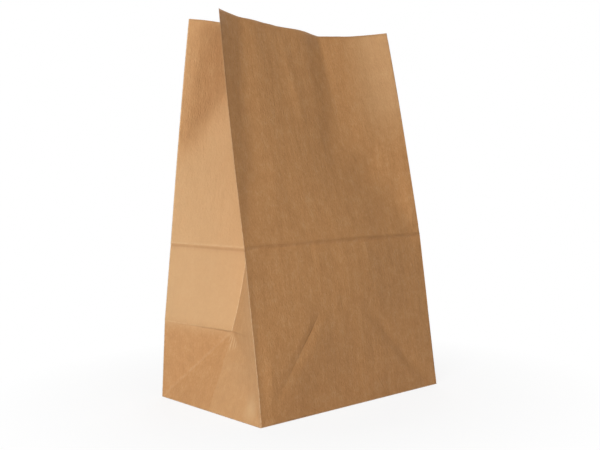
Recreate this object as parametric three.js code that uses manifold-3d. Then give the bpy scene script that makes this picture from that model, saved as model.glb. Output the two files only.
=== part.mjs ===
// A flat-bottomed brown paper bag: one sheet of kraft paper, folded, glued and standing open.
// Millimetres, +Z up. The origin is under the middle of the bottom, and the front faces -Y.

import * as THREE from 'three';
import { mergeVertices } from 'three/addons/utils/BufferGeometryUtils.js';
import Module from 'manifold-3d';

// The folded sheet
const BAG_WIDTH = 180; // front or back panel, fold to fold
const BAG_DEPTH = 120; // side panel, both halves of its gusset together
const BAG_HEIGHT = 285; // paper from the bottom fold to the cut top edge
const PAPER = 0.12; // thickness of the sheet
const FLAP_LAP = 20; // overlap of the two bottom flaps
const SEAM_LAP = 15; // glued lap of the sheet's two ends, on the back panel
const SEAM_INSET = 30; // from the back panel's right fold to the lap's free edge
const SEAM_EDGE = 0.1; // width of the step at the lap's free edge
const SEAM_EASE = 6; // paper in which the lap comes down to one thickness again

// How far the bag stands open
const MOUTH_GAP = 34.5; // front fold to back fold at the mouth
const CREASE_GAP = 87; // front fold to back fold at the pressed crease
const HINGE_LEAN = 6; // how far in the back panel has leaned at its hinge crease
const GUSSET_SLACK = 2; // how much shorter than its paper a bowed gusset half is
const GUSSET_STANDOFF = 4; // gusset's middle fold to the front panel at the mouth
const GUSSET_CURL = 7; // how far a gusset's front half curls back beside its fold at the mouth
const GUSSET_CLEAR = 3; // least gap, at its middle fold, of a gusset's front half behind the front panel

// How the mouth is dented: all of it fades to nothing at the pressed crease
const DENT_DEPTH = 21.5; // front panel pushed in at its kink
const KINK_OFFSET = 27; // kink to the right of the front panel's middle
const CURL_WIDTH = 18; // strip beside each front fold that curls round to the gusset
const LEFT_CURL = 5.6; // how far in the front panel has curled at the left strip's end
const RIGHT_CURL = 9.5; // the same at the right
const BACK_BOW = 18; // back panel bowed out at its middle
const MOUTH_DRIFT = -3; // the front panel's mouth lies this far to the right of its bottom

// Fineness of the facets
const FRONT_STEPS = 18;
const BACK_STEPS = 10;
const GUSSET_STEPS = 6; // in each half, and in the height of the bottom triangle
const CREASE_STEPS = 4; // from the bottom triangle's tip to the pressed crease
const MOUTH_STEPS = 8; // from the pressed crease to the mouth
const MITRE_LIMIT = 10; // most that a sharp fold's inside is drawn back, in thicknesses

const halfWidth = BAG_WIDTH / 2;
const halfDepth = BAG_DEPTH / 2;

// The bottom, folded up flat against the back, ends one bag depth up and presses a crease there.
const creaseHeight = BAG_DEPTH;
const creaseLean = (BAG_DEPTH - CREASE_GAP) / 2;
const mouthLean = (BAG_DEPTH - MOUTH_GAP) / 2;
const mouthShare = (v) => Math.max(0, (v - creaseHeight) / (BAG_HEIGHT - creaseHeight));

// Follows a panel up its paper: each step is [paper height, how far in the panel has leaned there].
function leanAt(v, steps) {
  let inward = 0;
  let up = 0;
  for (let i = 1; i < steps.length; i += 1) {
    const [from, leanFrom] = steps[i - 1];
    const [to, leanTo] = steps[i];
    const run = THREE.MathUtils.clamp(v, from, to) - from;
    const sine = (leanTo - leanFrom) / (to - from);
    inward += run * sine;
    up += run * Math.sqrt(1 - sine * sine);
  }
  return { inward, up };
}

// Front panel across the mouth, as [paper from the left fold, depth of the dent].
const frontProfile = new THREE.SplineCurve([
  new THREE.Vector2(0, 0),
  new THREE.Vector2(CURL_WIDTH, LEFT_CURL),
  new THREE.Vector2(halfWidth + KINK_OFFSET, DENT_DEPTH),
  new THREE.Vector2(BAG_WIDTH - CURL_WIDTH, RIGHT_CURL),
  new THREE.Vector2(BAG_WIDTH, 0),
]).getSpacedPoints(FRONT_STEPS);

// Back panel across the mouth from its right fold, with columns at the edges of the glued lap.
const lapEnd = SEAM_INSET + SEAM_LAP;
const seamColumns = [
  { s: SEAM_INSET, lift: 0 },
  { s: SEAM_INSET + SEAM_EDGE, lift: PAPER },
  { s: lapEnd, lift: PAPER },
  { s: lapEnd + SEAM_EASE, lift: 0 },
];
const plainColumns = Array.from({ length: BACK_STEPS + 1 }, (_, i) => ({
  s: (BAG_WIDTH * i) / BACK_STEPS,
  lift: 0,
})).filter(({ s }) => s < SEAM_INSET - SEAM_EASE || s > lapEnd + 2 * SEAM_EASE);
const backColumns = [...plainColumns, ...seamColumns].sort((a, b) => a.s - b.s);

// Lays a panel's columns side by side: paper keeps its width, so a deeper dent draws the folds in.
function layPanel(columns, direction, drift) {
  const points = [];
  let x = 0;
  columns.forEach(({ s, y, z }, i) => {
    if (i > 0) {
      const before = columns[i - 1];
      x += Math.sqrt((s - before.s) ** 2 - (y - before.y) ** 2);
    }
    points.push(new THREE.Vector3(x, y, z));
  });
  return points.map((p) => p.setX(direction * (p.x - x / 2) + drift));
}

function frontRow(v) {
  const columns = frontProfile.map(({ x: s, y: dent }) => {
    const { inward, up } = leanAt(v, [
      [0, 0],
      [creaseHeight, creaseLean],
      [BAG_HEIGHT, mouthLean + dent],
    ]);
    return { s, y: inward - halfDepth, z: up };
  });
  return layPanel(columns, 1, MOUTH_DRIFT * mouthShare(v));
}

function backRow(v) {
  const columns = backColumns.map(({ s }) => {
    const across = s / BAG_WIDTH;
    const { inward, up } = leanAt(v, [
      [0, 0],
      [halfDepth, HINGE_LEAN],
      [creaseHeight, creaseLean],
      [BAG_HEIGHT, mouthLean - BACK_BOW * 4 * across * (1 - across)],
    ]);
    return { s, y: halfDepth - inward, z: up };
  });
  return layPanel(columns, -1, 0);
}

// Depth of the front panel behind a given place across the bag.
function panelDepthAt(row, x) {
  const after = Math.max(1, row.findIndex((p) => p.x >= x));
  const [a, b] = [row[after - 1], row[after]];
  return THREE.MathUtils.mapLinear(x, a.x, b.x, a.y, b.y);
}

// Tip of the side panel's bottom triangle, which tilts in about the bottom edge.
const halfSpan = halfDepth - GUSSET_SLACK;
const tipGap = BAG_DEPTH - creaseLean / 2 - HINGE_LEAN;
const tipReach = Math.sqrt(halfSpan ** 2 - (tipGap / 2) ** 2);
const tipHeight = Math.sqrt(halfDepth ** 2 - tipReach ** 2);
const foldDrop = halfDepth - tipHeight;

// Middle fold of a gusset, between its front and back folds. side is -1 at the left, 1 at the right.
function middleFold(v, front, back, row, side) {
  const middle = front.clone().lerp(back, 0.5);
  const reach = Math.sqrt(halfSpan ** 2 - (back.y - front.y) ** 2 / 4);
  const tucked = panelDepthAt(row, middle.x - side * reach) + GUSSET_STANDOFF;
  const y = THREE.MathUtils.lerp(middle.y, tucked, mouthShare(v) ** 3);
  const x = front.x - side * Math.sqrt(halfSpan ** 2 - (y - front.y) ** 2);
  return new THREE.Vector3(x, y, middle.z - foldDrop);
}

// A side panel at one height, from its front fold to its back fold.
function gussetRow(v, front, back, row, side) {
  const frontFoot = new THREE.Vector3(side * halfWidth, -halfDepth, 0);
  const backFoot = new THREE.Vector3(side * halfWidth, halfDepth, 0);
  const tip = new THREE.Vector3(side * (halfWidth - tipReach), 0, tipHeight);
  const climb = Math.min(1, v / halfDepth);
  const frontCrease = climb < 1 ? frontFoot.clone().lerp(tip, climb) : middleFold(v, front, back, row, side);
  const backCrease = climb < 1 ? backFoot.clone().lerp(tip, climb) : frontCrease;
  const points = [];
  for (let i = 0; i <= 2 * GUSSET_STEPS; i += 1) {
    const u = i / GUSSET_STEPS;
    const point = new THREE.Vector3();
    if (u <= climb) {
      point.lerpVectors(front, frontCrease, climb > 0 ? u / climb : 0);
    } else if (u >= 2 - climb) {
      point.lerpVectors(back, backCrease, climb > 0 ? (2 - u) / climb : 0);
    } else {
      point.lerpVectors(frontCrease, backCrease, (u - climb) / (2 - 2 * climb));
    }
    const fromMiddle = Math.max(0, 1 - u);
    point.y += mouthShare(v) * GUSSET_CURL * 6.75 * u * fromMiddle ** 2;
    if (u > 0 && u < 1) {
      point.y = Math.max(point.y, panelDepthAt(row, point.x) + GUSSET_CLEAR * u);
    }
    points.push(point);
  }
  return points;
}

// The sheet's outside at one height, once round the bag from the front left fold.
function ringAt(v) {
  const front = frontRow(v);
  const back = backRow(v);
  const right = gussetRow(v, front.at(-1), back[0], front, 1);
  const left = gussetRow(v, front[0], back.at(-1), front, -1).reverse();
  return [front, right, back, left].flatMap((run) => run.slice(0, -1));
}

const heights = [];
for (let i = 0; i < GUSSET_STEPS; i += 1) {
  heights.push((halfDepth * i) / GUSSET_STEPS);
}
for (let i = 0; i < CREASE_STEPS; i += 1) {
  heights.push(THREE.MathUtils.lerp(halfDepth, creaseHeight, i / CREASE_STEPS));
}
for (let i = 0; i <= MOUTH_STEPS; i += 1) {
  heights.push(THREE.MathUtils.lerp(creaseHeight, BAG_HEIGHT, i / MOUTH_STEPS));
}

// Two flap thicknesses lie under the bottom, so the folds stand that far off the ground.
const flapHeight = 2 * PAPER;
const rings = heights.map((v) => ringAt(v).map((p) => p.setZ(p.z + flapHeight)));
const rows = rings.length;
const columns = rings[0].length;
const rightStart = FRONT_STEPS;
const backStart = rightStart + 2 * GUSSET_STEPS;
const leftStart = backStart + backColumns.length - 1;

// A gusset's bottom triangle has its sloping folds along the facets' diagonals.
function slopesDown(column) {
  const inRight = column >= rightStart + GUSSET_STEPS && column < backStart;
  return inRight || column >= leftStart + GUSSET_STEPS;
}

const wallFaces = [];
for (let row = 0; row < rows - 1; row += 1) {
  for (let column = 0; column < columns; column += 1) {
    const next = (column + 1) % columns;
    const a = row * columns + column;
    const b = row * columns + next;
    const c = (row + 1) * columns + next;
    const d = (row + 1) * columns + column;
    wallFaces.push(...(slopesDown(column) ? [[a, b, d], [b, c, d]] : [[a, b, c], [a, c, d]]));
  }
}

// Directions in which the sheet has its thickness: halfway between the walls that meet at a column,
// and drawn out at a fold so that both walls keep their thickness.
function thicknessAt(points) {
  const walls = points.map(() => [new THREE.Vector3(), new THREE.Vector3()]);
  wallFaces.forEach((face, i) => {
    const cell = Math.floor(i / 2) % columns;
    const [p, q, r] = face.map((corner) => points[corner]);
    const normal = new THREE.Triangle(p, q, r).getNormal(new THREE.Vector3());
    face.forEach((corner) => walls[corner][corner % columns === cell ? 0 : 1].add(normal));
  });
  return walls.map(([after, before]) => {
    const mean = after.normalize().clone().add(before.normalize()).normalize();
    return mean.multiplyScalar(1 / Math.max(mean.dot(after), 1 / MITRE_LIMIT));
  });
}

// Walls and bottom as one closed skin: outside, inside, cut edge round the mouth, and two floors.
function foldedSheet() {
  const middle = rings.flat();
  const thickness = thicknessAt(middle);
  const lift = new Array(columns).fill(0);
  backColumns.forEach((c, i) => {
    lift[(backStart + i) % columns] = c.lift;
  });
  const outside = middle.map((p, i) => p.clone().addScaledVector(thickness[i], lift[i % columns]));
  const inside = middle.map((p, i) => p.clone().addScaledVector(thickness[i], -PAPER));
  inside.slice(0, columns).forEach((p) => p.setZ(flapHeight + PAPER));
  const under = new THREE.Vector3(0, 0, flapHeight);
  const floor = new THREE.Vector3(0, 0, flapHeight + PAPER);
  const points = [...outside, ...inside, under, floor];

  const count = middle.length;
  const top = count - columns;
  const faces = [...wallFaces, ...wallFaces.map(([a, b, c]) => [count + a, count + c, count + b])];
  for (let k = 0; k < columns; k += 1) {
    const next = (k + 1) % columns;
    faces.push([top + k, top + next, count + top + next]);
    faces.push([top + k, count + top + next, count + top + k]);
    faces.push([2 * count, next, k]);
    faces.push([2 * count + 1, count + k, count + next]);
  }
  const geometry = new THREE.BufferGeometry().setFromPoints(points);
  return geometry.setIndex(faces.flat());
}

// A bottom flap: its long side is a bottom fold, and its ends slope in along the end triangles.
function bottomFlap(side, from, to) {
  const tuck = halfDepth + FLAP_LAP / 2;
  const long = halfWidth - PAPER;
  const short = halfWidth - tuck;
  const outline = new THREE.Shape([
    new THREE.Vector2(-long, side * (halfDepth - PAPER)),
    new THREE.Vector2(long, side * (halfDepth - PAPER)),
    new THREE.Vector2(short, (-side * FLAP_LAP) / 2),
    new THREE.Vector2(-short, (-side * FLAP_LAP) / 2),
  ]);
  const flap = new THREE.ExtrudeGeometry(outline, { depth: to - from, bevelEnabled: false });
  return flap.translate(0, 0, from);
}

const wasm = await Module();
wasm.setup();

function toSolid(geometry) {
  const bare = geometry.clone();
  bare.deleteAttribute('normal');
  bare.deleteAttribute('uv');
  const merged = mergeVertices(bare);
  const mesh = new wasm.Mesh({
    numProp: 3,
    vertProperties: new Float32Array(merged.attributes.position.array),
    triVerts: new Uint32Array(merged.index.array),
  });
  return new wasm.Manifold(mesh);
}

function toGeometry(solid) {
  const { vertProperties, triVerts } = solid.getMesh();
  const geometry = new THREE.BufferGeometry();
  geometry.setAttribute('position', new THREE.BufferAttribute(vertProperties, 3));
  geometry.setIndex(new THREE.BufferAttribute(triVerts, 1));
  geometry.computeVertexNormals();
  return geometry;
}

// The front flap is glued to the bottom first, and the back flap is lapped over it.
const glueLine = flapHeight + PAPER / 2;
const frontFlap = bottomFlap(-1, PAPER, glueLine);
const backFlap = bottomFlap(1, 0, glueLine);
const bag = toSolid(foldedSheet()).add(toSolid(frontFlap)).add(toSolid(backFlap));

const kraft = new THREE.MeshStandardMaterial({ color: 0xb8875a, roughness: 0.85, metalness: 0 });
const paperBag = new THREE.Mesh(toGeometry(bag), kraft);
paperBag.name = 'paper_bag';

const model = new THREE.Group();
model.add(paperBag);

export default model;
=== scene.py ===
"""A brown paper lunch bag: one kraft blank, folded and glued, standing with its mouth open.

The blank is a flat grid in the sheet's own coordinates. Paper across runs once round the bag from the
free edge of the glued lap, and paper up runs from the cut ends of the bottom flaps, below zero, to the
mouth. Folding moves every point of the grid to its place on the bag, so the paper keeps its size.
"""

import math
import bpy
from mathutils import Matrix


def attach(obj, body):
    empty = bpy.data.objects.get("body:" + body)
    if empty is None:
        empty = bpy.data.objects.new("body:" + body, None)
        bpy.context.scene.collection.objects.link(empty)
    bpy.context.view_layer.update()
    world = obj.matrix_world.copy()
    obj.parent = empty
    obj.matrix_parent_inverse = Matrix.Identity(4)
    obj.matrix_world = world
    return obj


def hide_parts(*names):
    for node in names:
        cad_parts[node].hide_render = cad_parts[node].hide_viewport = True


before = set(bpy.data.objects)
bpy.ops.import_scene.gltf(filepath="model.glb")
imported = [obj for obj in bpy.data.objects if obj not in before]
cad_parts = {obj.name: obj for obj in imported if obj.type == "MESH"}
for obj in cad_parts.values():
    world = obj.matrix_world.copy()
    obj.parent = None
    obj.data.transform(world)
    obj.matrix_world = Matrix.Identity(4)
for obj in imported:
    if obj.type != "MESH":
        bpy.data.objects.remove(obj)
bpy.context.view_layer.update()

from types import SimpleNamespace

import bmesh
import bpy
from bpy.props import FloatProperty, FloatVectorProperty, PointerProperty
from mathutils import Matrix, Vector, noise

bl_info = {
    "name": "Paper Lunch Bag",
    "version": (1, 0, 0),
    "blender": (4, 5, 0),
    "location": "3D View > Sidebar > Paper Bag",
    "description": "Folds a flat-bottomed paper bag from one blank and sets it on a pale stage",
    "category": "Mesh",
}

MM = 0.001
# Places on the sheet that are closer than this are the same.
SAME = 1e-6
# Panels in the order in which paper across meets them.
PANELS = ("back", "left", "front", "right", "back")
GUSSETS = ("left", "right")


def length(name, description, default):
    """A size in metres."""
    return FloatProperty(
        name=name,
        description=description,
        default=default,
        unit="LENGTH",
        subtype="DISTANCE",
        precision=5,
    )


def factor(name, description, default):
    """A share of a whole."""
    return FloatProperty(name=name, description=description, default=default, subtype="FACTOR")


def colour(name, description, default):
    """A linear colour."""
    return FloatVectorProperty(
        name=name, description=description, default=default, subtype="COLOR", size=3, min=0.0, max=1.0
    )


class BagSheet(bpy.types.PropertyGroup):
    """Sizes of the sheet and of its folds."""

    width: length("Width", "Front or back panel, fold to fold", 0.180)
    depth: length("Depth", "Side panel, both halves of its gusset together", 0.120)
    height: length("Height", "Paper from the bottom fold to the cut mouth", 0.285)
    paper: length("Paper", "Thickness of the sheet", 0.00012)
    back_cut: length("Back Cut", "How much lower the back panel is cut than the front", 0.0020)
    flap_lap: length("Flap Lap", "Overlap of the two bottom flaps", 0.020)
    seam_lap: length("Seam Lap", "Glued lap of the sheet's two ends", 0.015)
    seam_inset: length("Seam Inset", "From the back panel's right fold to the lap's free edge", 0.030)
    seam_ease: length("Seam Ease", "Paper in which the lap comes down to one thickness", 0.006)
    layer_gap: length("Layer Gap", "Air between two layers that lie on each other", 0.00001)
    cell: length("Cell", "Spacing of the grid that the blank starts from", 0.0025)
    fold_round: length("Fold Round", "Half the width of the rounded paper at a fold", 0.0008)


class BagStance(bpy.types.PropertyGroup):
    """How the folded bag stands open."""

    mouth_gap: length("Mouth Gap", "Front fold to back fold at the mouth", 0.0345)
    crease_gap: length("Crease Gap", "Front fold to back fold at the pressed crease", 0.087)
    hinge_lean: length("Hinge Lean", "How far in the back panel has leaned at its hinge crease", 0.006)
    gusset_slack: length("Gusset Slack", "How much shorter than its paper a bowed gusset half is", 0.002)
    gusset_standoff: length("Gusset Standoff", "Middle fold to the front panel at the mouth", 0.004)
    front_curl: length("Front Curl", "How far a gusset's front half curls back at the mouth", 0.007)
    back_curl: length("Back Curl", "How far a gusset's back half curls forward at the mouth", 0.0030)
    bend_height: length("Bend Height", "Paper height at which a slanting bend leaves each back fold", 0.178)
    bend_turn: factor("Bend Turn", "How sharply a gusset's back half turns at that bend", 0.34)
    fold_roll: length("Fold Roll", "How far the front panel's left fold stands out", 0.0011)
    fold_roll_reach: length("Fold Roll Reach", "Paper in which that roll dies away", 0.005)
    back_bow: length("Back Bow", "Back panel bowed out at its middle", 0.018)
    mouth_drift: length("Mouth Drift", "Sideways lean of the front panel's mouth", -0.003)
    take_up: factor("Take Up", "Share of the mouth's width taken up in fine waves", 0.014)
    unevenness: length("Unevenness", "Height of the panels' long soft waves", 0.00050)


class BagFinish(bpy.types.PropertyGroup):
    """Colours of the paper and of the stage."""

    kraft: colour("Kraft", "The paper's middle brown", (0.49, 0.244, 0.094))
    # Dark fibre also serves as painted shade along creases.
    kraft_dark: colour("Dark Fibre", "Dense fibre and bark specks", (0.35, 0.166, 0.060))
    # Pale fibre also serves as painted light and sheen.
    kraft_pale: colour("Pale Fibre", "Thin fibre and paler places", (0.62, 0.398, 0.205))
    # Scuffed fibre also serves as painted highlight along folds and crease lips.
    kraft_scuffed_and_highlight: colour("Scuffed Fibre", "Fibre torn up along folds", (0.76, 0.56, 0.36))
    floor: colour("Floor", "The pale floor", (0.95, 0.95, 0.95))


def sizes(group):
    """A property group's sizes, rounded to a ten-thousandth of a millimetre so that grid lines meet."""
    return SimpleNamespace(**{name: round(getattr(group, name), 7) for name in group.__annotations__})


def clamp(value, low, high):
    return max(low, min(high, value))


def near(a, b):
    """Whether two places on the sheet are the same."""
    return abs(a - b) < SAME


def tent(value, middle, half_width):
    """1 at the middle, falling straight to 0 at half_width from it."""
    return max(0.0, 1 - abs(value - middle) / half_width)


def ease(low, high, value):
    """0 below low, 1 above high, and a smooth climb between them."""
    t = clamp((value - low) / (high - low), 0.0, 1.0)
    return t * t * (3.0 - 2.0 * t)


def soft_min(a, b, blend):
    """The smaller of two values, rounded where they meet."""
    return 0.5 * (a + b - math.sqrt((a - b) ** 2 + blend * blend))


def through(points, s):
    """A smooth curve through points, read at s."""
    last = len(points) - 2
    i = next((k for k in range(last) if s <= points[k + 1][0]), last)
    (x1, y1), (x2, y2) = points[i], points[i + 1]
    x0, y0 = points[i - 1] if i > 0 else (2 * x1 - x2, 2 * y1 - y2)
    x3, y3 = points[i + 2] if i < last else (2 * x2 - x1, 2 * y2 - y1)
    run = x2 - x1
    t = (s - x1) / run
    leave = run * (y2 - y0) / (x2 - x0)
    arrive = run * (y3 - y1) / (x3 - x1)
    return (
        (2 * t**3 - 3 * t**2 + 1) * y1
        + (t**3 - 2 * t**2 + t) * leave
        + (3 * t**2 - 2 * t**3) * y2
        + (t**3 - t**2) * arrive
    )


def lean_at(v, steps):
    """Follows a panel up its paper: each step is (paper height, how far in it has leaned there)."""
    inward = up = 0.0
    for (low, lean_low), (high, lean_high) in zip(steps, steps[1:]):
        run = clamp(v, low, high) - low
        sine = (lean_high - lean_low) / (high - low)
        inward += run * sine
        up += run * math.sqrt(1.0 - sine * sine)
    return inward, up


class Folding:
    """Where each point of the blank lies on the standing bag."""

    # Front panel across the mouth, as (paper from the left fold, depth of the dent), in millimetres:
    # the long dent that reaches down to the pressed crease, then the cut edge left and right of its kink.
    DENT = ((0, 0), (18, 5.6), (60, 12.8), (118, 20.0), (160, 11.2), (180, 0))
    KINK = (118, 21.8)
    EDGE_LEFT = (
        (0, 0), (16, 5.3), (26, 7.9), (42, 10.5), (56, 13.0),
        (68, 14.9), (84, 15.8), (97, 17.4), KINK,
    )
    EDGE_RIGHT = (KINK, (133, 18.5), (148, 15.3), (162, 10.4), (180, 0))
    # Shares of the way from the pressed crease to the mouth between which the dent turns into that edge.
    EDGE_ONSET = (0.40, 0.95)
    # Paper above the bottom in which the roll of the left fold grows to its full height.
    ROLL_ONSET = 0.02
    # Slanting bend of a gusset's back half: paper from the back fold where it starts, how fast it moves away
    # from that fold, and the rise in which it grows sharp.
    BEND_START, BEND_SLOPE, BEND_ONSET = 0.0025, 0.56, 0.030
    # Crest of the strip beside the back fold, as a share of the gusset's half: at its foot, and what is added
    # up to the mouth.
    STRIP_CREST, STRIP_SPREAD = 0.042, 0.125
    # How round the bend and the crest are.
    BEND_BLEND = 0.3
    # Soft bend along the front slant: the share that it takes of the room beside it, and how fast it opens
    # below the tip.
    SLANT_SOFT, SLANT_OPENING = 0.9, 5.0
    # How far folded-in flap ends stay clear of the bottom fold.
    FLAP_INSET = 0.0004

    def __init__(self, sheet, stance):
        self.sheet, self.stance = sheet, stance
        self.half_width, self.half_depth = sheet.width / 2, sheet.depth / 2
        self.crease_lean = (sheet.depth - stance.crease_gap) / 2
        self.mouth_lean = (sheet.depth - stance.mouth_gap) / 2
        self.half_span = self.half_depth - stance.gusset_slack
        tip_gap = sheet.depth - self.crease_lean / 2 - stance.hinge_lean
        self.tip_reach = math.sqrt(self.half_span**2 - (tip_gap / 2) ** 2)
        self.tip_height = math.sqrt(self.half_depth**2 - self.tip_reach**2)
        self.fold_drop = self.half_depth - self.tip_height
        self.flap = self.half_depth + sheet.flap_lap / 2
        self.dent, self.edge_left, self.edge_right = (
            [(s * MM, d * MM) for s, d in line] for line in (self.DENT, self.EDGE_LEFT, self.EDGE_RIGHT)
        )
        # Layers of the bottom from the ground up, each at its outer side.
        layer = sheet.paper + sheet.layer_gap
        self.back_level = layer
        self.front_level = 2 * layer
        self.tuck_level = self.front_level + 2 * sheet.paper + sheet.layer_gap
        self.end_level = self.tuck_level + sheet.layer_gap

    def mouth_share(self, v):
        return max(0.0, (v - self.sheet.depth) / (self.sheet.height - self.sheet.depth))

    def dent_at(self, s, share):
        """Depth of the front panel's dent, with waves and a kink that sharpen towards the mouth."""
        soft = through(self.dent, s)
        edge = self.edge_left if s <= self.edge_right[0][0] else self.edge_right
        return soft + (through(edge, s) - soft) * ease(*self.EDGE_ONSET, share)

    def lay(self, columns, direction, drift, width_share):
        """Lays a panel's columns side by side: a deeper dent draws the folds in."""
        x, points = 0.0, []
        for k, (s, y, z) in enumerate(columns):
            if k:
                x += math.sqrt(max(0.0, (s - columns[k - 1][0]) ** 2 - (y - columns[k - 1][1]) ** 2))
            points.append((x, y, z))
        return [Vector((direction * width_share * (p - x / 2) + drift, y, z)) for p, y, z in points]

    def front_row(self, v, across):
        share = self.mouth_share(v)
        columns = []
        for s in across:
            top = self.mouth_lean + self.dent_at(s, share)
            steps = ((0, 0), (self.sheet.depth, self.crease_lean), (self.sheet.height, top))
            inward, up = lean_at(v, steps)
            roll = self.stance.fold_roll * math.exp(-s / self.stance.fold_roll_reach)
            roll *= min(1.0, v / self.ROLL_ONSET)
            columns.append((s, inward - self.half_depth - roll, up))
        return self.lay(columns, 1, self.stance.mouth_drift * share, 1 - self.stance.take_up * share)

    def back_row(self, v, across):
        v *= 1 - self.sheet.back_cut / self.sheet.height
        columns = []
        for s in across:
            part = s / self.sheet.width
            top = self.mouth_lean - self.stance.back_bow * 4 * part * (1 - part)
            steps = (
                (0, 0),
                (self.half_depth, self.stance.hinge_lean),
                (self.sheet.depth, self.crease_lean),
                (self.sheet.height, top),
            )
            inward, up = lean_at(v, steps)
            columns.append((s, self.half_depth - inward, up))
        return self.lay(columns, -1, 0.0, 1.0)

    def middle_fold(self, v, front, back, panel, side):
        """Middle fold of a gusset, which lies just behind the front panel at the mouth."""
        middle = front.lerp(back, 0.5)
        reach = math.sqrt(self.half_span**2 - (back.y - front.y) ** 2 / 4)
        x = middle.x - side * reach
        right = next((k for k in range(1, len(panel)) if panel[k].x >= x), len(panel) - 1)
        a, b = panel[right - 1], panel[right]
        tucked = a.y + (b.y - a.y) * (x - a.x) / (b.x - a.x) + self.stance.gusset_standoff
        y = middle.y + (tucked - middle.y) * self.mouth_share(v) ** 3
        x = front.x - side * math.sqrt(self.half_span**2 - (y - front.y) ** 2)
        return Vector((x, y, middle.z - self.fold_drop))

    def gusset_row(self, v, front, back, panel, side, across):
        """A side panel at one height, at distances from its front fold."""
        tip = Vector((side * (self.half_width - self.tip_reach), 0.0, self.tip_height))
        climb = min(1.0, v / self.half_depth)
        if climb < 1:
            front_crease = Vector((side * self.half_width, -self.half_depth, 0.0)).lerp(tip, climb)
            back_crease = Vector((side * self.half_width, self.half_depth, 0.0)).lerp(tip, climb)
        else:
            front_crease = back_crease = self.middle_fold(v, front, back, panel, side)
        points = []
        for g in across:
            u = g / self.half_depth
            if u <= climb:
                point = front.lerp(front_crease, u / climb if climb else 0.0)
            elif u >= 2 - climb:
                point = back.lerp(back_crease, (2 - u) / climb if climb else 0.0)
            else:
                point = front_crease.lerp(back_crease, (u - climb) / (2 - 2 * climb))
            point += self.slant_bend(u, climb, front, front_crease, back_crease)
            point.y += self.curl(u, v)
            points.append(point)
        return points

    def slant_bend(self, u, climb, front, front_crease, back_crease):
        """How far the soft bend along a gusset's front slant moves a point."""
        soft = self.SLANT_SOFT * min(climb, self.SLANT_OPENING * (1 - climb) ** 2)
        past = u - climb
        if abs(past) >= soft:
            return Vector()
        turn = (back_crease - front_crease) / (2 - 2 * climb) - (front_crease - front) / climb
        return turn * ((past + soft) ** 2 / (4 * soft) - max(past, 0.0))

    def bend_at(self, v):
        """Paper from a gusset's back fold to its slanting bend."""
        return self.BEND_START + self.BEND_SLOPE * max(0.0, v - self.stance.bend_height)

    def curl(self, u, v):
        """How much further back a gusset's halves lie than flat ones."""
        stance = self.stance
        from_front, from_back = min(u, 1.0), min(2 - u, 1.0)
        # The front half curls back. Its curve peaks at 4/27.
        moved = self.mouth_share(v) * stance.front_curl * 27 / 4 * from_front * (1 - from_front) ** 2
        # Above its slanting bend the back half turns away.
        rise = max(0.0, v - stance.bend_height)
        bend = self.bend_at(v) / self.half_depth
        if bend < 1:
            deep = stance.bend_turn * ease(0.0, self.BEND_ONSET, rise) * self.half_depth * bend * (1 - bend)
            moved += deep * soft_min(from_back / bend, (1 - from_back) / (1 - bend), self.BEND_BLEND)
        # A strip beside the back fold stands out, and widens from a point to the mouth.
        strip = clamp(rise / (self.sheet.height - stance.bend_height), 0.0, 1.0)
        crest = self.STRIP_CREST + self.STRIP_SPREAD * strip
        shape = soft_min(from_back / crest, (1 - from_back) / (1 - crest), self.BEND_BLEND)
        return moved - strip * stance.back_curl * shape

    def flap_point(self, panel, s, q):
        """A point of the bottom, q below the bottom fold. Ends of the long flaps fold back on a slant."""
        inset = 1.0 - self.FLAP_INSET / self.half_depth
        if panel in GUSSETS:
            side = 1 if panel == "right" else -1
            y = (s - self.half_depth) * inset
            level = self.end_level if 0 < s < self.sheet.depth else self.tuck_level
            return Vector((side * (self.half_width - q), y, level))
        corner = min(s, self.sheet.width - s)
        facing = -1 if panel == "front" else 1
        level = self.front_level if panel == "front" else self.back_level
        x = (s - self.half_width) * -facing
        if corner > q + SAME:
            return Vector((x, facing * (self.half_depth - q), level))
        end = math.copysign(1.0, x)
        if corner > q - SAME:
            return Vector((x, facing * (self.half_depth - q), (level + self.tuck_level) / 2))
        y = facing * (self.half_depth - corner) * inset
        return Vector((end * (self.half_width - q), y, self.tuck_level))


def lines_between(low, high, cell, folds, fold_round):
    """Grid lines from low to high, with four close ones beside each fold."""
    count = round((high - low) / cell)
    lines = {round(low + (high - low) * k / count, 7) for k in range(count + 1)}
    for fold in folds:
        lines |= {round(fold + step * fold_round, 7) for step in (-2, -1, 0, 1, 2)}
    return sorted(x for x in lines if low - SAME <= x <= high + SAME)


# Paper up at the mouth, in millimetres.
MOUTH = 285

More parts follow.
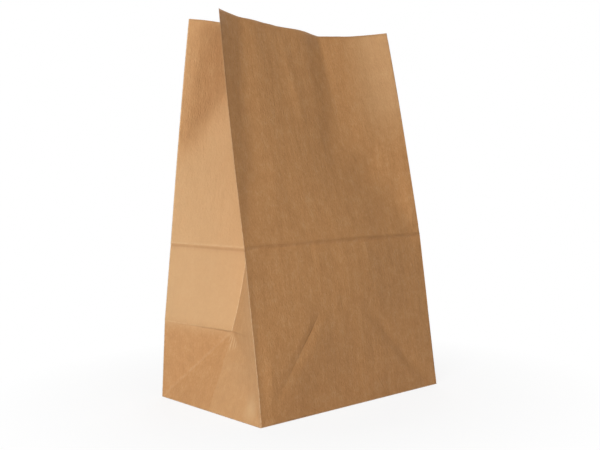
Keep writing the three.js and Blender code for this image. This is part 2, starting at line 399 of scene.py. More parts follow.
# Marks bent or pressed into the sheet, in millimetres: panel, path of (paper across, paper up), height above
# the sheet, and half width towards smaller and towards larger paper across. Below zero it is a groove.
MARKS = (
    # Hollows and ridges that light and shade the front panel.
    ("front", ((4, 137), (20, 172), (22, 230), (30, MOUTH)), -1.8, 13, 15),
    ("front", ((168, 128), (158, 152), (140, 176), (126, 188)), -4.2, 40, 22),
    ("front", ((115, 264), (114, 240), (112, 212), (105, 192), (96, 178)), -2.1, 14, 60),
    ("front", ((70, 280), (74, 240), (77, 212)), 0.75, 5, 7),
    ("front", ((113, 119), (112, 92), (107, 68)), 2.4, 70, 46),
    ("front", ((114, 119), (112, 92), (107, 68)), 0.4, 12, 8),
    ("front", ((68, 76), (38, 43), (20, 24), (4, 6)), 3.0, 44, 34),
    ("front", ((14, 104), (22, 92), (33, 78)), -0.5, 5, 9),
    ("front", ((95, 30), (100, 60), (104, 90)), 0.8, 50, 50),
    # Creases.
    ("front", ((64, 74), (50, 57), (38, 43), (24, 28)), -1.0, 3.2, 4.0),
    ("front", ((24, 28), (8, 8)), -0.35, 4, 4),
    ("front", ((108, 67), (120, 56), (156, 18), (170, 4)), -1.1, 5, 8),
    ("front", ((60, 121), (60, 103)), -0.30, 2.6, 2.6),
    ("front", ((115, 122), (116, 106)), 0.45, 2.6, 2.6),
    ("front", ((82, 82), (84, 70)), -0.35, 3, 3),
    ("front", ((165, 245), (161, 213), (161, 164)), 0.30, 4, 4),
    ("front", ((42, 7), (52, 2)), -0.35, 3, 3),
    ("front", ((111, 22), (121, 5)), 0.35, 3, 3),
    # Gussets: crushed paper where the folds meet, and bent corners.
    ("left", ((57, 53), (58, 44)), 0.45, 2.6, 2.6),
    ("left", ((58, 44), (55, 23), (60, 8)), 0.25, 3, 3),
    ("left", ((49, 53), (38, 35), (32, 8)), -0.25, 3, 3),
    ("left", ((118, 92), (107, 62)), 0.55, 6, 6),
    ("left", ((14, 3), (10, 14)), 0.9, 8, 8),
    ("left", ((114, 6), (102, 2)), -0.50, 3, 3),
    ("right", ((62, 52), (60, 30)), 0.35, 3, 3),
    ("right", ((48, 50), (36, 30)), -0.25, 3, 3),
    # Back panel.
    ("back", ((62, 84), (60, 60), (30, 31)), 0.45, 3.2, 3.2),
    ("back", ((118, 84), (120, 60), (150, 31)), 0.45, 3.2, 3.2),
    ("back", ((96, 121), (95, 104)), 0.35, 2.8, 2.8),
    ("back", ((70, MOUTH), (74, 246), (80, 205)), -0.7, 8, 14),
    ("back", ((128, MOUTH), (122, 250)), 0.5, 8, 8),
    ("back", ((40, 150), (58, 190), (62, 230)), -0.8, 16, 16),
)

# How far a mark reaches to its sides in half widths, how steeply it falls off there, its share of height at a
# faded end, and how fast it rises from there.
MARK_REACH, MARK_FALL = 3.0, 1.6
MARK_END, MARK_RISE = 0.35, 2.4

# Thin strokes on the outer face, in millimetres: panel, two ends as (paper across, paper up), half width,
# depth in the relief and how dark its painted shade is. Below zero it is a ridge, scuffed pale.
STROKES = (
    # Sharp bottoms of the front panel's slanting creases, darkened with painted shade.
    ("front", (63, 72), (36, 41), 0.9, 1.8, 0.50),
    ("front", (38, 43), (18, 21), 1.2, 0.7, 0.15),
    ("front", (112, 63), (160, 14), 1.3, 0.4, 0.08),
    # Short creases below the pressed one, and beside the bottom fold, darkened with painted shade.
    ("front", (60, 122), (60, 102), 0.8, 0.6, 0.20),
    ("front", (115, 122), (116, 106), 0.8, 1.0, 0.35),
    ("front", (82, 85), (84, 69), 0.8, 0.9, 0.30),
    ("front", (111, 22), (121, 4), 0.8, 0.8, 0.25),
    ("front", (42, 8), (53, 1), 0.8, 0.8, 0.25),
    # Paper crushed below the left gusset's tip.
    ("left", (58.5, 59), (56.5, 43), 0.7, -0.9, -0.60),
    ("left", (55.5, 58), (53.5, 45), 0.6, -0.9, -0.60),
    ("left", (52.0, 55), (50.5, 46), 0.6, -0.7, -0.55),
    ("left", (60.0, 58), (61.0, 50), 0.6, -0.6, -0.50),
)

# Share of a stroke's length in which each end thins out.
STROKE_FADE = 0.35

# Soft waves of the sheet: share of their height, rates round the bag and up it per metre, and a seed.
WAVES = ((1.0, 24.0, 15.0, 3.7), (0.75, 75.0, 32.0, 9.1), (0.45, 125.0, 26.0, 5.3))

# Waves and creases are lower in the gussets. Waves start beside a fold in a share of the panel, and in this
# much paper above the bottom.
GUSSET_SHARE = 0.55
WAVE_ONSET, WAVE_RISE = 0.2, 0.02

# Paper beside a fold in which marks start, on the front panel and on the others.
FRONT_MARK_ONSET, MARK_ONSET = 0.012, 0.004

# A pressed crease, in millimetres: lip and groove, each as height and place above the crease line, then their
# half width and the whole crease's reach.
LIP_HEIGHT, LIP_PLACE = 0.50, 0.8
GROOVE_DEPTH, GROOVE_PLACE = 0.45, -1.6
CREASE_WIDTH, CREASE_REACH = 1.3, 8.0

# Share of a pressed crease at a fold, the paper in which it grows whole, and the hinge's share of one.
CREASE_AT_FOLD, CREASE_ONSET = 0.3, 0.006
HINGE_SHARE = 0.5

# Painted light, as shares of paler paper: the right gusset, the front panel's top right, the left gusset's
# front half with what a paler spot at its bottom front corner adds, and its back half below the hinge, above
# it and past the slanting bend. On the gussets' back halves it is painted sheen.
PALE_RIGHT, PALE_TOP, PALE_FRONT_HALF, PALE_CORNER = 0.15, 0.32, 0.34, 0.56
PALE_FOOT, PALE_BACK_HALF, PALE_PAST_BEND = 0.14, 0.72, 0.28

# Where the painted light starts and is whole, as paper across or up.
TOP_ACROSS, TOP_UP = (0.130, 0.165), (0.185, 0.235)
HINGE_UP = (0.050, 0.066)
PAST_BEND_ACROSS, PAST_BEND_UP = (-0.020, 0.018), (0.160, 0.200)

# Middle and half size of the paler spot at that corner, as paper across and up.
CORNER_PLACE, CORNER_SIZE = (0.014, 0.010), (0.009, 0.012)

# How scuffed the hinge and the gussets' back slants are, where an edge of the bag is 1.
HINGE_SCUFF, SLANT_SCUFF = 0.30, 0.14

# The pressed crease's painted light and shade: on the front panel how dark its painted shade is at the left
# and what is added to the right of there, and on the others how pale the painted highlight on its lip and how
# dark the painted shade in its groove is.
CREASE_DARK, CREASE_DARKER, DARKER_ACROSS = 0.22, 0.28, (0.045, 0.070)
LIP_HIGHLIGHT, GROOVE_DARK = 0.40, 0.45

# Where that painted light and shade lies, as middle and half width above the crease line, in units of the
# fold's rounding.
DARK_BAND, LIP_BAND, GROOVE_BAND = (1.0, 2.2), (1.2, 1.2), (-1.5, 2.2)
# How far from the crease line, in the same units, that painted light and shade reaches.
PAINTED_CREASE_REACH = 4.0


def pressed(above):
    """Height of a pressed crease: a lip with a shallow groove under it."""
    d = above / MM
    if abs(d) > CREASE_REACH:
        return 0.0
    lip = LIP_HEIGHT * math.exp(-(((d - LIP_PLACE) / CREASE_WIDTH) ** 2))
    groove = GROOVE_DEPTH * math.exp(-(((d - GROOVE_PLACE) / CREASE_WIDTH) ** 2))
    return (lip - groove) * MM


def mark_height(panel, s, v):
    """Height in metres that the marks give to a point of a panel."""
    total = 0.0
    for name, path, height, before, after in MARKS:
        if name != panel:
            continue
        best = None
        walked = 0.0
        whole = sum(math.dist(a, b) for a, b in zip(path, path[1:]))
        for (x0, y0), (x1, y1) in zip(path, path[1:]):
            run = math.hypot(x1 - x0, y1 - y0)
            t = clamp(((s - x0) * (x1 - x0) + (v - y0) * (y1 - y0)) / run**2, 0.0, 1.0)
            aside, along = s - x0 - t * (x1 - x0), v - y0 - t * (y1 - y0)
            gap = math.hypot(aside, along)
            if best is None or gap < best[0]:
                turned = ease(-1.0, 1.0, aside / gap) if gap else 0.5
                best = (gap, (walked + t * run) / whole, before + (after - before) * turned)
            walked += run
        gap, part, half_width = best
        if gap < MARK_REACH * half_width:
            # A mark fades at its ends, but one that starts at the mouth is whole there.
            if path[0][1] == MOUTH:
                fade = 1 - part**2
            else:
                fade = min(1.0, MARK_END + MARK_RISE * min(part, 1 - part))
            total += height * fade * math.exp(-((gap / half_width) ** 2) * MARK_FALL)
    return total * MM


class BAG_OT_fold_sheet(bpy.types.Operator):
    """Fold the kraft blank into the bag: panels, gussets, bottom flaps and glued lap"""

    bl_idname = "paper_bag.fold_sheet"
    bl_label = "Fold Sheet"
    bl_options = {"REGISTER", "UNDO"}

    def execute(self, context):
        sheet, stance = sizes(context.scene.bag_sheet), sizes(context.scene.bag_stance)
        fold = Folding(sheet, stance)
        w, d, r = sheet.width, sheet.depth, sheet.fold_round
        # Folds met on the way round from the lap's free edge, and the panel that starts at each.
        start = sheet.seam_inset
        turns = [0.0, w - start, w - start + d, 2 * w - start + d, 2 * w - start + 2 * d]
        end = turns[-1] + start + sheet.seam_lap
        middles = [turns[1] + d / 2, turns[3] + d / 2]
        across = lines_between(0.0, end, sheet.cell, turns[1:] + middles, r)
        upward = lines_between(-fold.flap, sheet.height, sheet.cell, [0.0, d / 2, d], r)

        bm = bmesh.new()
        bmesh.ops.create_grid(bm, x_segments=len(across) - 1, y_segments=len(upward) - 1, size=0.5)
        paper = bm.loops.layers.uv.new("sheet")
        # Per point: scuff with painted highlights and painted crease shade, then painted light that pales the
        # paper.
        wear_and_painted_light = bm.verts.layers.float.new("wear_and_painted_light")
        painted_light = bm.verts.layers.float.new("painted_light")
        spot = {}
        for vert in bm.verts:
            column = round((vert.co.x + 0.5) * (len(across) - 1))
            row = round((vert.co.y + 0.5) * (len(upward) - 1))
            spot[vert] = (column, row)
        for face in bm.faces:
            for loop in face.loops:
                column, row = spot[loop.vert]
                loop[paper].uv = (across[column], upward[row] + fold.flap)

        # Panel and distance across it for every column. The left gusset is met from its back fold.
        places = []
        for t in across:
            k = max(i for i, turn in enumerate(turns) if t >= turn - SAME)
            panel = PANELS[k]
            s = t - turns[k] + (start if k == 0 else 0.0)
            places.append((panel, d - s if panel == "left" else s))
        rows = {}
        for vert, (column, row) in spot.items():
            rows.setdefault(row, []).append((column, vert))
        for row, line in rows.items():
            self.fold_row(fold, upward[row], places, line, wear_and_painted_light, painted_light)
        self.split_slants(bm, fold, spot, places, upward)
        bm.normal_update()
        self.press_marks(fold, spot, across, places, upward, end)
        for face in bm.faces:
            face.smooth = True

        mesh = bpy.data.meshes.new("kraft_sheet")
        bm.to_mesh(mesh)
        bm.free()
        bag = bpy.data.objects.new("kraft_sheet", mesh)
        context.scene.collection.objects.link(bag)
        for material in (kraft_outside(), kraft_inside(), kraft_cut_edge()):
            mesh.materials.append(material)
        wall = bag.modifiers.new("Paper", "SOLIDIFY")
        wall.thickness = sheet.paper
        wall.offset = -1.0
        wall.material_offset = 1
        wall.material_offset_rim = 2
        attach(bag, "root")
        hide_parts("paper_bag")
        return {"FINISHED"}

    def fold_row(self, fold, v, places, line, wear_and_painted_light, painted_light):
        """Moves one row of the blank to its place on the bag."""
        standing = v >= -SAME
        if standing:
            v = max(0.0, v)
            ring = self.ring_at(fold, v, places)
        for column, vert in line:
            panel, s = places[column]
            if standing:
                vert.co = ring[(panel, s)] + Vector((0.0, 0.0, fold.front_level))
            else:
                vert.co = fold.flap_point(panel, s, -v)
            # Scuff with painted highlights and painted crease shade, and painted light.
            vert[wear_and_painted_light] = self.wear_and_painted_light_at(fold, panel, s, v)
            vert[painted_light] = self.painted_light_at(fold, panel, s, v) if v > 0 else 0.0

    def ring_at(self, fold, v, places):
        """Points of all four panels at one height, by panel and distance across it."""
        steps = {panel: sorted({s for p, s in places if p == panel}) for panel in PANELS}
        front = fold.front_row(v, steps["front"])
        # Both ends of the sheet lie on the back panel, so its row is worked out from fold to fold.
        full = sorted(set(steps["back"]) | {0.0, fold.sheet.width})
        back = fold.back_row(v, full)
        ring = {("front", s): p for s, p in zip(steps["front"], front)}
        ring.update({("back", s): p for s, p in zip(full, back)})
        for panel, side, at_front, at_back in (
            ("right", 1, front[-1], back[0]),
            ("left", -1, front[0], back[-1]),
        ):
            gusset = fold.gusset_row(v, at_front, at_back, front, side, steps[panel])
            ring.update({(panel, s): p for s, p in zip(steps[panel], gusset)})
        return ring

    def painted_light_at(self, fold, panel, s, v):
        """How much painted light pales the paper."""
        if panel == "back":
            return 0.0
        if panel == "right":
            return PALE_RIGHT
        if panel == "front":
            return PALE_TOP * ease(*TOP_ACROSS, s) * ease(*TOP_UP, v)
        # The left gusset: painted light on its front half with a paler corner spot, and painted sheen on its
        # back half.
        if s < fold.half_depth:
            across, up = ((a - b) / size for a, b, size in zip((s, v), CORNER_PLACE, CORNER_SIZE))
            return PALE_FRONT_HALF + PALE_CORNER * tent(math.hypot(across, up), 0.0, 1.0)
        past_bend = ease(*PAST_BEND_ACROSS, fold.bend_at(v) - fold.sheet.depth + s) * ease(*PAST_BEND_UP, v)
        upper = PALE_BACK_HALF + (PALE_PAST_BEND - PALE_BACK_HALF) * past_bend
        return PALE_FOOT + (upper - PALE_FOOT) * ease(*HINGE_UP, v)

    def wear_and_painted_light_at(self, fold, panel, s, v):
        """Up to 1 where a fold is scuffed or a highlight is painted, and below 0 for painted shade along a
        crease.
        """
        sheet, half = fold.sheet, fold.half_depth
        gusset = panel in GUSSETS
        edge = near(s, 0) or near(s, sheet.depth if gusset else sheet.width)
        middle = gusset and v > half and near(s, half)
        # Folds are scuffed, and the scuff also stands as a painted highlight along them.
        if edge or middle or near(v, 0):
            return 1.0
        # The pressed crease: painted shade on the front panel, and elsewhere a painted highlight on its lip
        # and painted shade in its groove.
        above = (v - sheet.depth) / sheet.fold_round
        if abs(above) < PAINTED_CREASE_REACH:
            if panel == "front":
                dark = CREASE_DARK + CREASE_DARKER * ease(*DARKER_ACROSS, s)
                return -dark * tent(above, *DARK_BAND)
            return LIP_HIGHLIGHT * tent(above, *LIP_BAND) - GROOVE_DARK * tent(above, *GROOVE_BAND)
        hinged = panel == "back" or (gusset and s >= half)
        if hinged and near(v, half):
            return HINGE_SCUFF
        slant = gusset and 0 < v < half and near(s, sheet.depth - v)
        return SLANT_SCUFF if slant else 0.0

    def split_slants(self, bm, fold, spot, places, upward):
        """Cuts the cells that a slanted fold crosses along it."""
        depth, wide = fold.sheet.depth, fold.sheet.width
        chosen = []
        for vert, (column, row) in spot.items():
            panel, s = places[column]
            v = upward[row]
            if panel in GUSSETS:
                on = -SAME <= v <= fold.half_depth + SAME and (near(s, v) or near(depth - s, v))
            else:
                on = v <= SAME and (near(s, -v) or near(wide - s, -v))
            if on:
                chosen.append(vert)
        bmesh.ops.connect_verts(bm, verts=chosen)

    def press_marks(self, fold, spot, across, places, upward, end):
        """Lifts the sheet along its marks and soft waves, and raises the glued lap."""
        sheet = fold.sheet
        round_bag = (end - sheet.seam_lap) / math.tau
        past_lap = sheet.seam_lap + sheet.seam_ease
        for vert, (column, row) in spot.items():
            t, v = across[column], upward[row]
            panel, s = places[column]
            lift = 0.0
            if v > 0:
                # Waves run round the bag, so the lap's two layers share theirs.
                ring = round_bag * Vector((math.cos(t / round_bag), math.sin(t / round_bag), 0.0))
                waves = sum(
                    share * noise.noise(rate * ring + Vector((0.0, 0.0, climb * v + seed)))
                    for share, rate, climb, seed in WAVES
                )
                lift += self.relief(fold, panel, s, v, waves)
            if t < past_lap:
                lift += (sheet.paper + sheet.layer_gap) * (1 - ease(sheet.seam_lap, past_lap, t))
            vert.co += vert.normal * lift

    def relief(self, fold, panel, s, v, waves):
        """Height of waves, marks and pressed creases at a point. They are lower beside the panel's folds."""
        gusset = panel in GUSSETS
        share = GUSSET_SHARE if gusset else 1.0
        span = fold.half_depth if gusset else fold.sheet.width
        inside = s % span if gusset else s
        beside = min(inside, span - inside)
        calm = min(1.0, beside / (WAVE_ONSET * span)) * min(1.0, v / WAVE_RISE)
        lift = calm * share * fold.stance.unevenness * waves
        mark_onset = FRONT_MARK_ONSET if panel == "front" else MARK_ONSET
        lift += mark_height(panel, s / MM, v / MM) * ease(0.0, mark_onset, beside)
        crease = pressed(v - fold.sheet.depth)
        if panel == "back" or (gusset and s > fold.half_depth):
            crease += HINGE_SHARE * pressed(v - fold.half_depth)
        whole = CREASE_AT_FOLD + (1 - CREASE_AT_FOLD) * ease(0.0, CREASE_ONSET, beside)
        return lift + crease * share * whole


class Wiring:
    """Adds nodes to a tree and joins them."""

    def __init__(self, tree):
        self.tree = tree

    def add(self, kind, **sockets):
        node = self.tree.nodes.new(kind)
        for name, value in sockets.items():
            self.feed(node.inputs[name], value)
        return node

    def feed(self, socket, value):
        if isinstance(value, bpy.types.NodeSocket):
            self.tree.links.new(value, socket)
        else:
            socket.default_value = value

    def math(self, operation, *values):
        node = self.tree.nodes.new("ShaderNodeMath")
        node.operation = operation
        for socket, value in zip(node.inputs, values):
            self.feed(socket, value)
        return node.outputs[0]

    def ramp(self, value, low, high, to_low=0.0, to_high=1.0):
        node = self.tree.nodes.new("ShaderNodeMapRange")
        for socket, number in zip(node.inputs, (value, low, high, to_low, to_high)):
            self.feed(socket, number)
        return node.outputs[0]

    def tint(self, amount, under, over):
        node = self.tree.nodes.new("ShaderNodeMix")
        node.data_type = "RGBA"
        for socket, value in zip([node.inputs[k] for k in (0, 6, 7)], (amount, under, over)):
            self.feed(socket, value)
        return node.outputs[2]

    def swing(self, noise_value, share):
        """A share of a noise's swing about its middle."""
        return self.math("MULTIPLY", self.math("SUBTRACT", noise_value, 0.5), share)

    def attribute(self, name):
        node = self.tree.nodes.new("ShaderNodeAttribute")
        node.attribute_name = name
        return node.outputs["Fac"]

    def cloud(self, vector, scale, stretch, detail, rough):
        """Noise whose grain is stretched along the paper."""
        turn = self.tree.nodes.new("ShaderNodeMapping")
        self.feed(turn.inputs["Vector"], vector)
        turn.inputs["Scale"].default_value = stretch
        node = self.tree.nodes.new("ShaderNodeTexNoise")
        self.feed(node.inputs["Vector"], turn.outputs[0])
        node.inputs["Scale"].default_value = scale
        node.inputs["Detail"].default_value = detail
        node.inputs["Roughness"].default_value = rough
        return node.outputs["Fac"]


def paper_grain():
    """Fibre, formation and specks of kraft paper, in the sheet's own coordinates."""
    if "Kraft Grain" in bpy.data.node_groups:
        return bpy.data.node_groups["Kraft Grain"]
    tree = bpy.data.node_groups.new("Kraft Grain", "ShaderNodeTree")
    face = tree.interface
    face.new_socket("Vector", in_out="INPUT", socket_type="NodeSocketVector")
    for name in ("Cloud", "Fibre", "Streak"):
        face.new_socket(name, in_out="INPUT", socket_type="NodeSocketFloat")
    for name in ("Tone", "Speck", "Height"):
        face.new_socket(name, in_out="OUTPUT", socket_type="NodeSocketFloat")
    wire = Wiring(tree)
    given = tree.nodes.new("NodeGroupInput").outputs
    made = tree.nodes.new("NodeGroupOutput").inputs
    vector = given["Vector"]
    formation = wire.cloud(vector, 150.0, (1.0, 0.8, 1.0), 4.0, 0.6)
    flock = wire.cloud(vector, 900.0, (1.0, 0.45, 1.0), 3.0, 0.6)
    fibre = wire.cloud(vector, 2600.0, (1.0, 0.25, 1.0), 2.0, 0.5)
    streak = wire.cloud(vector, 420.0, (1.0, 0.05, 1.0), 3.0, 0.65)
    clouds = wire.math("ADD", wire.swing(formation, 0.9), wire.swing(flock, 0.9))
    cloudy = wire.math("MULTIPLY", clouds, given["Cloud"])
    hairy = wire.math("MULTIPLY", wire.swing(fibre, 1.0), given["Fibre"])
    streaky = wire.math("MULTIPLY", wire.swing(streak, 1.1), given["Streak"])
    total = wire.math("ADD", wire.math("ADD", cloudy, hairy), streaky)
    wire.feed(made["Tone"], wire.math("ADD", total, 0.5))
    speck = wire.cloud(vector, 1150.0, (1.0, 0.33, 1.0), 1.0, 0.4)
    wire.feed(made["Speck"], wire.ramp(speck, 0.70, 0.76))
    cockle = wire.cloud(vector, 300.0, (1.0, 0.32, 1.0), 3.0, 0.6)
    fine = wire.math("ADD", wire.math("MULTIPLY", fibre, 0.9), wire.math("MULTIPLY", flock, 1.3))
    wire.feed(made["Height"], wire.math("ADD", fine, wire.math("MULTIPLY", cockle, 2.4)))
    return tree


def stroke(wire, place, panel, start, end, half_width):
    """A mask of 1 along a thin stroke on the front or the left panel, thinning out at its ends."""
    sheet = bpy.context.scene.bag_sheet
    fold = Vector((sheet.width - sheet.seam_inset + sheet.depth, (sheet.depth + sheet.flap_lap) / 2, 0.0))
    outward = 1 if panel == "front" else -1
    start, end = (fold + MM * Vector((outward * s, v, 0.0)) for s, v in (start, end))
    run = end - start
    turned = wire.tree.nodes.new("ShaderNodeMapping")
    turned.vector_type = "TEXTURE"
    turned.inputs["Location"].default_value = start
    turned.inputs["Rotation"].default_value = (0.0, 0.0, math.atan2(run.y, run.x))
    wire.feed(turned.inputs["Vector"], place)
    parts = wire.add("ShaderNodeSeparateXYZ", Vector=turned.outputs[0]).outputs
    fading = STROKE_FADE * run.length
    onset = wire.ramp(parts["X"], 0.0, fading)
    ending = wire.ramp(parts["X"], run.length - fading, run.length, 1.0, 0.0)
    across = wire.ramp(wire.math("ABSOLUTE", parts["Y"]), 0.0, half_width * MM, 1.0, 0.0)
    return wire.math("MULTIPLY", across, wire.math("MULTIPLY", onset, ending))


# The paper's gloss, how far its roughness swings, and the height of its fibre relief in metres.
GLOSS = 0.17
ROUGH_SWING = 0.06
FIBRE_RELIEF = 0.0002


def kraft(name, cloud, fibre, streak, rough, bump, fold_scuff_and_highlight, strokes=()):
    """A face of the paper: grain, painted light and shade, scuffed folds and thin strokes."""
    finish = bpy.context.scene.bag_finish
    material = bpy.data.materials.new(name)
    material.use_nodes = True
    tree = material.node_tree
    wire = Wiring(tree)
    shader = tree.nodes["Principled BSDF"]
    place = tree.nodes.new("ShaderNodeUVMap")
    place.uv_map = "sheet"
    grain = tree.nodes.new("ShaderNodeGroup")
    grain.node_tree = paper_grain()
    wire.feed(grain.inputs["Vector"], place.outputs[0])
    for socket, value in (("Cloud", cloud), ("Fibre", fibre), ("Streak", streak)):
        grain.inputs[socket].default_value = value
    tone, speck, height = (grain.outputs[k] for k in ("Tone", "Speck", "Height"))
    under = wire.tint(wire.ramp(tone, 0.15, 0.5), (*finish.kraft_dark, 1), (*finish.kraft, 1))
    base = wire.tint(wire.ramp(tone, 0.5, 0.95), under, (*finish.kraft_pale, 1))
    base = wire.tint(wire.math("MULTIPLY", speck, 0.45), base, (*finish.kraft_dark, 1))
    # Painted light and sheen: the paper is mixed towards its pale colour.
    base = wire.tint(wire.attribute("painted_light"), base, (*finish.kraft_pale, 1))
    wear_and_light = wire.attribute("wear_and_painted_light")
    # Painted shade along creases, where the scuff attribute is below zero.
    base = wire.tint(wire.ramp(wear_and_light, 0.0, -1.0), base, (*finish.kraft_dark, 1))
    # Scuffed folds, partly real wear and partly a painted highlight along the folds and crease lips.
    broken = wire.ramp(wire.cloud(place.outputs[0], 300.0, (1.0, 1.0, 1.0), 3.0, 0.7), 0.30, 0.62)
    scuffs_and_highlights = wire.math("MULTIPLY", wire.ramp(wear_and_light, 0.0, 1.0), broken)
    base = wire.tint(wire.math("MULTIPLY", scuffs_and_highlights, fold_scuff_and_highlight), base, (*finish.kraft_scuffed_and_highlight, 1))
    # Strokes above zero paint shade into a crease; those below zero are scuffed pale.
    for panel, start, end, half_width, depth, dark in strokes:
        mask = stroke(wire, place.outputs[0], panel, start, end, half_width)
        height = wire.math("SUBTRACT", height, wire.math("MULTIPLY", mask, depth))
        shade = finish.kraft_dark if dark > 0 else finish.kraft_scuffed_and_highlight
        base = wire.tint(wire.math("MULTIPLY", mask, abs(dark)), base, (*shade, 1))
    wire.feed(shader.inputs["Base Color"], base)
    roughness = wire.ramp(tone, 0.2, 0.8, rough + ROUGH_SWING, rough - ROUGH_SWING)
    wire.feed(shader.inputs["Roughness"], roughness)
    shader.inputs["Specular IOR Level"].default_value = GLOSS
    relief = wire.add("ShaderNodeBump", Strength=bump, Distance=FIBRE_RELIEF, Height=height)
    wire.feed(shader.inputs["Normal"], relief.outputs[0])
    return material


def kraft_outside():
    """The calendered outer face, with faint streaks along the paper machine's run."""
    return kraft(
        "kraft_outside",
        cloud=0.50,
        fibre=0.28,
        streak=0.18,
        rough=0.55,
        bump=0.90,
        fold_scuff_and_highlight=0.85,
        strokes=STROKES,
    )


def kraft_inside():
    """The rougher inner face."""
    return kraft("kraft_inside", cloud=0.42, fibre=0.40, streak=0.08, rough=0.74, bump=0.40, fold_scuff_and_highlight=0.20)


def kraft_cut_edge():
    """Torn fibre along the cut edges."""
    return kraft("kraft_cut_edge", cloud=0.90, fibre=1.00, streak=0.00, rough=0.90, bump=0.60, fold_scuff_and_highlight=0.60)


# Lamps: name, turn and climb in degrees, distance, then width and height in metres, and watts. They face the
# bag at the height AIM.
AIM = 0.13
LAMPS = (
    ("window", 15.0, -3.0, 1.2, (0.90, 0.12), 4.9),
    ("softbox", 30.0, 42.0, 1.2, (0.60, 0.60), 7.9),
    ("side_fill", -34.0, 4.0, 1.2, (0.60, 0.60), 0.8),
    ("front_fill", 85.0, 25.0, 1.4, (0.60, 0.60), 2.2),
    ("far_fill", 222.0, 20.0, 1.6, (1.20, 1.20), 14.0),
)

# The camera: lens and sensor in millimetres, its place in metres, and its turns in radians.
LENS, SENSOR = 52.48, 36.0
EYE = (-0.4464, -0.5070, 0.1644)
YAW, PITCH, ROLL = 0.7218, -0.052, -0.0137

# The floor's half size, the distances from the middle of the bag between which it runs out into white, and
# how white it is near the bag.
FLOOR_REACH = 6.0
FLOOR_NEAR, FLOOR_FAR = 0.11, 0.25
FLOOR_WHITE = 0.85

# Strength of the even light from all around.
SKY_LIGHT = 0.08


class BAG_OT_set_stage(bpy.types.Operator):
    """Lay the pale floor, hang the lamps and place the camera"""

    bl_idname = "paper_bag.set_stage"
    bl_label = "Set Stage"
    bl_options = {"REGISTER", "UNDO"}

    def execute(self, context):
        self.lay_floor(context)
        self.hang_lamps(context)
        self.place_camera(context)
        context.scene.view_settings.view_transform = "Standard"
        return {"FINISHED"}

    def lay_floor(self, context):
        bm = bmesh.new()
        bmesh.ops.create_grid(bm, x_segments=1, y_segments=1, size=FLOOR_REACH)
        mesh = bpy.data.meshes.new("floor")
        bm.to_mesh(mesh)
        bm.free()
        floor = bpy.data.objects.new("floor", mesh)
        context.scene.collection.objects.link(floor)
        material = bpy.data.materials.new("pale_floor")
        material.use_nodes = True
        tree = material.node_tree
        wire = Wiring(tree)
        shader = tree.nodes["Principled BSDF"]
        shader.inputs["Base Color"].default_value = (*context.scene.bag_finish.floor, 1)
        shader.inputs["Roughness"].default_value = 0.9
        shader.inputs["Specular IOR Level"].default_value = 0.0
        glow = tree.nodes.new("ShaderNodeEmission")
        glow.inputs["Color"].default_value = (1, 1, 1, 1)
        glow.inputs["Strength"].default_value = 1.0
        mix = tree.nodes.new("ShaderNodeMixShader")
        # Near the bag the floor shows its shadow, and further off it runs out into white.
        place = tree.nodes.new("ShaderNodeTexCoord")
        far = tree.nodes.new("ShaderNodeVectorMath")
        far.operation = "LENGTH"
        wire.feed(far.inputs[0], place.outputs["Object"])
        white = wire.ramp(far.outputs["Value"], FLOOR_NEAR, FLOOR_FAR, FLOOR_WHITE, 1.0)
        wire.feed(mix.inputs[0], wire.math("MULTIPLY", seen(wire), white))
        wire.feed(mix.inputs[1], shader.outputs[0])
        wire.feed(mix.inputs[2], glow.outputs[0])
        wire.feed(tree.nodes["Material Output"].inputs["Surface"], mix.outputs[0])
        mesh.materials.append(material)

    def hang_lamps(self, context):
        world = bpy.data.worlds.new("studio")
        context.scene.world = world
        world.use_nodes = True
        tree = world.node_tree
        wire = Wiring(tree)
        back = tree.nodes["Background"]
        back.inputs["Color"].default_value = (1, 1, 1, 1)
        back.inputs["Strength"].default_value = SKY_LIGHT
        white = tree.nodes.new("ShaderNodeBackground")
        white.inputs["Color"].default_value = (1, 1, 1, 1)
        mix = tree.nodes.new("ShaderNodeMixShader")
        wire.feed(mix.inputs[0], seen(wire))
        wire.feed(mix.inputs[1], back.outputs[0])
        wire.feed(mix.inputs[2], white.outputs[0])
        wire.feed(tree.nodes["World Output"].inputs["Surface"], mix.outputs[0])
        for name, turn, climb, reach, size, power in LAMPS:
            lamp(context, name, turn, climb, reach, size, power)

    def place_camera(self, context):
        data = bpy.data.cameras.new("camera")
        data.sensor_width = SENSOR
        data.lens = LENS
        camera = bpy.data.objects.new("camera", data)
        context.scene.collection.objects.link(camera)
        ahead = Vector((math.sin(YAW) * math.cos(PITCH), math.cos(YAW) * math.cos(PITCH), math.sin(PITCH)))
        level = Vector((math.cos(YAW), -math.sin(YAW), 0.0))
        upright = level.cross(ahead)
        right = level * math.cos(ROLL) + upright * math.sin(ROLL)
        up = upright * math.cos(ROLL) - level * math.sin(ROLL)
        turn = Matrix((right, up, -ahead)).transposed().to_4x4()
        camera.matrix_world = Matrix.Translation(EYE) @ turn
        context.scene.camera = camera


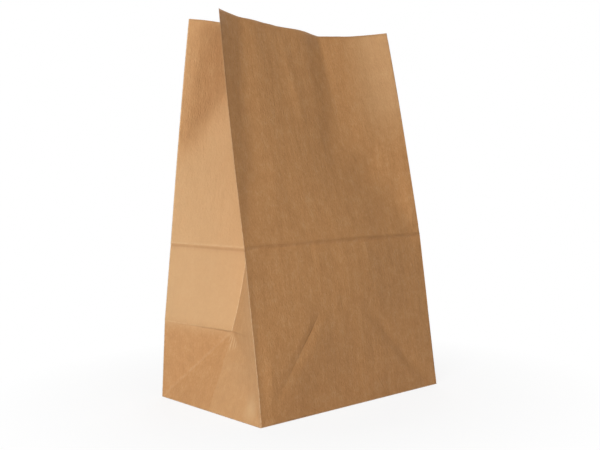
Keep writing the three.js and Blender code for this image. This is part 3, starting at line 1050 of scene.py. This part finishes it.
def seen(wire):
    """1 for rays that show the background: from the camera, in a gloss or through glass."""
    path = wire.tree.nodes.new("ShaderNodeLightPath").outputs
    both = wire.math("MAXIMUM", path["Is Camera Ray"], path["Is Glossy Ray"])
    return wire.math("MAXIMUM", both, path["Is Transmission Ray"])


def lamp(context, name, turn, climb, reach, size, power):
    """A soft lamp at a distance from the bag. turn is from its left side towards its front, in degrees."""
    data = bpy.data.lights.new(name, "AREA")
    data.shape = "RECTANGLE"
    data.size, data.size_y = size
    data.energy = power
    light = bpy.data.objects.new(name, data)
    context.scene.collection.objects.link(light)
    turn, climb = math.radians(turn), math.radians(climb)
    away = Vector((-math.cos(turn) * math.cos(climb), -math.sin(turn) * math.cos(climb), math.sin(climb)))
    place = Vector((0.0, 0.0, AIM)) + reach * away
    light.matrix_world = Matrix.Translation(place) @ (-away).to_track_quat("-Z", "Y").to_matrix().to_4x4()


class BAG_PT_sidebar(bpy.types.Panel):
    """Sizes, colours and steps of the paper bag"""

    bl_idname = "BAG_PT_sidebar"
    bl_label = "Paper Bag"
    bl_space_type = "VIEW_3D"
    bl_region_type = "UI"
    bl_category = "Paper Bag"

    def draw(self, context):
        for title, group in (("Sheet", "bag_sheet"), ("Stance", "bag_stance"), ("Finish", "bag_finish")):
            column = self.layout.column(heading=title)
            values = getattr(context.scene, group)
            for name in values.__annotations__:
                column.prop(values, name)
        for step in (BAG_OT_fold_sheet, BAG_OT_set_stage):
            self.layout.operator(step.bl_idname)


CLASSES = (BagSheet, BagStance, BagFinish, BAG_OT_fold_sheet, BAG_OT_set_stage, BAG_PT_sidebar)


def register():
    for item in CLASSES:
        bpy.utils.register_class(item)
    bpy.types.Scene.bag_sheet = PointerProperty(type=BagSheet)
    bpy.types.Scene.bag_stance = PointerProperty(type=BagStance)
    bpy.types.Scene.bag_finish = PointerProperty(type=BagFinish)


def unregister():
    for name in ("bag_sheet", "bag_stance", "bag_finish"):
        delattr(bpy.types.Scene, name)
    for item in reversed(CLASSES):
        bpy.utils.unregister_class(item)


def main():
    register()
    bpy.ops.paper_bag.fold_sheet()
    bpy.ops.paper_bag.set_stage()


if __name__ == "__main__":
    main()
